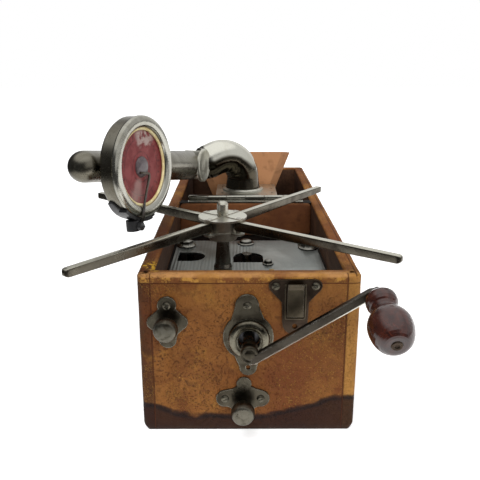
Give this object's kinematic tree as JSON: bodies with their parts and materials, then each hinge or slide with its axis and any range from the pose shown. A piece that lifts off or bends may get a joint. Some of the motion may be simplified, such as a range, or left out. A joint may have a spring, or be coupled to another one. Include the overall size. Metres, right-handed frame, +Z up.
{
  "type": "portable gramophone",
  "caption": "Open leather-covered box gramophone with a spring motor, folding-arm turntable, winding crank, swan-neck tonearm with soundbox and a collapsible leather horn.",
  "frame": {"origin": "centre of the case's bottom face, which rests on the table", "axes": "+X to the crank side as seen from the front, +Y from the crank's end to the horn's end, +Z up"},
  "size_m": [0.172, 0.3431, 0.1623],
  "materials": {
    "bare_wood": "plain",
    "case_leather": "worn",
    "facing_leather": "worn",
    "horn_leather": "matte",
    "motor_steel": "brushed",
    "nickel": "polished",
    "aged_nickel": "aged",
    "aged_bronze": "aged",
    "bright_steel": "bright",
    "brass": "plain",
    "spring_steel": "blued",
    "pipe_metal": "matte",
    "handle_wood": "varnished",
    "black_enamel": "gloss",
    "gasket_rubber": "plain",
    "red_paper": "matte"
  },
  "bodies": {
    "case": {"front_board": "bare_wood", "back_board": "bare_wood", "left_board": "bare_wood", "right_board": "bare_wood", "floor_board": "bare_wood", "partition_board": "bare_wood", "leather_cover": "case_leather", "partition_facing": "facing_leather", "motor_bearers": "bare_wood", "motor_plate": "motor_steel", "motor_lower_plate": "motor_steel", "motor_pillars": "bright_steel", "motor_plate_screws": "aged_nickel", "spindle_bush": "bright_steel", "speed_knob_plate": "aged_nickel", "winding_escutcheon": "aged_nickel", "catch_plate": "aged_bronze", "brake_knob_plate": "aged_nickel", "fitting_screws": "aged_nickel", "winding_bush": "aged_bronze", "hinge_front_leaf": "nickel", "hinge_rear_leaf": "nickel", "hinge_pin": "bright_steel", "tonearm_base_plate": "nickel", "tonearm_flange": "nickel", "sound_elbow": "pipe_metal", "elbow_saddle": "bare_wood", "horn": "horn_leather"},
    "catch": {"catch_tongue": "aged_nickel"},
    "barrel": {"spring_barrel": "brass", "mainspring": "spring_steel"},
    "arbor": {"barrel_arbor": "bright_steel"},
    "second": {"second_wheel": "brass"},
    "turntable": {"spindle": "bright_steel", "turntable_hub": "nickel", "arm_rivets": "nickel"},
    "arm_front_right": {"arm_front_right": "nickel"},
    "arm_back_right": {"arm_back_right": "nickel"},
    "arm_back_left": {"arm_back_left": "nickel"},
    "arm_front_left": {"arm_front_left": "nickel"},
    "governor": {"governor_shaft": "bright_steel", "governor_weights": "brass"},
    "speed_knob": {"speed_knob": "aged_nickel"},
    "speed_lever": {"speed_lever": "spring_steel"},
    "brake_knob": {"brake_knob": "aged_nickel"},
    "brake_lever": {"brake_lever": "spring_steel"},
    "crank": {"winding_shaft": "bright_steel", "crank_arm": "nickel", "handle_pin": "bright_steel"},
    "handle": {"crank_handle": "handle_wood"},
    "tonearm": {"gooseneck": "nickel"},
    "tube": {"tone_tube": "nickel", "soundbox_shell": "nickel", "soundbox_bezel": "nickel", "soundbox_gasket": "gasket_rubber", "soundbox_diaphragm": "red_paper", "stylus_bar": "spring_steel", "needle_chuck": "black_enamel"},
    "needle_screw": {"needle_screw": "black_enamel"}
  },
  "joints": [
    {"name": "turntable_turn", "type": "hinge", "parent": "case", "child": "turntable", "pos_m": [-0.0143, -0.0914, 0.08], "axis": [0, 0, 1], "continuous": true},
    {"name": "second_turn", "type": "hinge", "parent": "case", "child": "second", "pos_m": [0.01431, -0.0899, 0.06], "axis": [0, 0, 1], "continuous": true},
    {"name": "barrel_turn", "type": "hinge", "parent": "case", "child": "barrel", "pos_m": [0, -0.06, 0.03], "axis": [0, 0, 1], "continuous": true},
    {"name": "governor_turn", "type": "hinge", "parent": "case", "child": "governor", "pos_m": [-0.02461, -0.11973, 0.045], "axis": [0, 0, 1], "continuous": true},
    {"name": "crank_turn", "type": "hinge", "parent": "case", "child": "crank", "pos_m": [0, -0.145, 0.054], "axis": [0, -1, 0], "continuous": true},
    {"name": "arbor_turn", "type": "hinge", "parent": "case", "child": "arbor", "pos_m": [0, -0.06, 0.05], "axis": [0, 0, 1], "continuous": true},
    {"name": "handle_turn", "type": "hinge", "parent": "crank", "child": "handle", "pos_m": [0.05953, -0.1625, 0.08686], "axis": [0.0333, -0.9531, -0.3007], "continuous": true},
    {"name": "fold_front_right", "type": "hinge", "parent": "turntable", "child": "arm_front_right", "pos_m": [-0.00524, -0.09848, 0.1026], "axis": [0, 0, 1], "range_deg": [0, 38]},
    {"name": "fold_back_right", "type": "hinge", "parent": "turntable", "child": "arm_back_right", "pos_m": [-0.00722, -0.08234, 0.1026], "axis": [0, 0, 1], "range_deg": [-52, 0]},
    {"name": "fold_back_left", "type": "hinge", "parent": "turntable", "child": "arm_back_left", "pos_m": [-0.02336, -0.08432, 0.1026], "axis": [0, 0, 1], "range_deg": [0, 38]},
    {"name": "fold_front_left", "type": "hinge", "parent": "turntable", "child": "arm_front_left", "pos_m": [-0.02138, -0.10046, 0.1026], "axis": [0, 0, 1], "range_deg": [-52, 0]},
    {"name": "tonearm_swing", "type": "hinge", "parent": "case", "child": "tonearm", "pos_m": [-0.0018, 0.039, 0.0905], "axis": [0, 0, 1], "range_deg": [-30, 4]},
    {"name": "tonearm_lift", "type": "hinge", "parent": "tonearm", "child": "tube", "pos_m": [-0.03257, 0.02432, 0.11227], "axis": [-0.9026, -0.4305, 0], "range_deg": [0, 70]},
    {"name": "needle_screw_turn", "type": "hinge", "parent": "tube", "child": "needle_screw", "pos_m": [-0.06054, -0.11997, 0.1062], "axis": [0.9068, -0.4171, 0.061], "continuous": true},
    {"name": "speed_knob_turn", "type": "hinge", "parent": "case", "child": "speed_knob", "pos_m": [-0.0412, -0.145, 0.0626], "axis": [0, -1, 0], "range_deg": [0, 90]},
    {"name": "speed_lever_swing", "type": "hinge", "parent": "case", "child": "speed_lever", "pos_m": [-0.037, -0.11373, 0.052], "axis": [0, 0, 1], "range_deg": [-4, 0]},
    {"name": "brake_knob_turn", "type": "hinge", "parent": "case", "child": "brake_knob", "pos_m": [-0.0031, -0.145, 0.0159], "axis": [0, -1, 0], "range_deg": [0, 90]},
    {"name": "brake_lever_swing", "type": "hinge", "parent": "case", "child": "brake_lever", "pos_m": [-0.0123, -0.1114, 0.0147], "axis": [0, 0, 1], "range_deg": [-5, 0]},
    {"name": "catch_press", "type": "hinge", "parent": "case", "child": "catch", "pos_m": [0.023, -0.1478, 0.0666], "axis": [1, 0, 0], "range_deg": [0, 6], "stiffness_Nm_per_rad": 0.01}
  ],
  "couplings": [
    {"joint": "second_turn", "follows": "turntable_turn", "ratio": -0.26667},
    {"joint": "barrel_turn", "follows": "turntable_turn", "ratio": 0.059259},
    {"joint": "governor_turn", "follows": "turntable_turn", "ratio": -5},
    {"joint": "arbor_turn", "follows": "crank_turn", "ratio": 0.45455},
    {"joint": "speed_lever_swing", "follows": "speed_knob_turn", "ratio": -0.04},
    {"joint": "brake_lever_swing", "follows": "brake_knob_turn", "ratio": -0.05}
  ]
}
